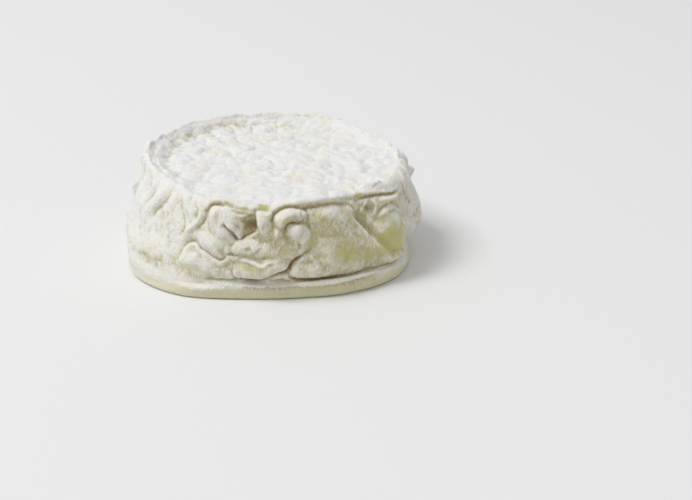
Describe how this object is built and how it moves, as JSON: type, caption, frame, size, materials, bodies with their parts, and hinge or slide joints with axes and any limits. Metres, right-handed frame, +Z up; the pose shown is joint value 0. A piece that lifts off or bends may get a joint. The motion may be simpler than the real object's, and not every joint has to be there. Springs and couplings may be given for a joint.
{
  "type": "soft-ripened cheese wheel",
  "caption": "Small soft-ripened cheese wheel, whole and uncut, with a white bloomy rind wrinkled into folds, a raised rim round a shallow dish and a thin foot it rests on.",
  "frame": {"origin": "on the table, at the middle of the wheel's flat base", "axes": "+Z up through the wheel's thickness, -Y towards the front stretch of the wall, +X to the right of it"},
  "size_m": [0.097, 0.093, 0.0346],
  "materials": {
    "rind": "matte"
  },
  "bodies": {
    "root": {"cheese_wheel": "rind"}
  },
  "joints": []
}
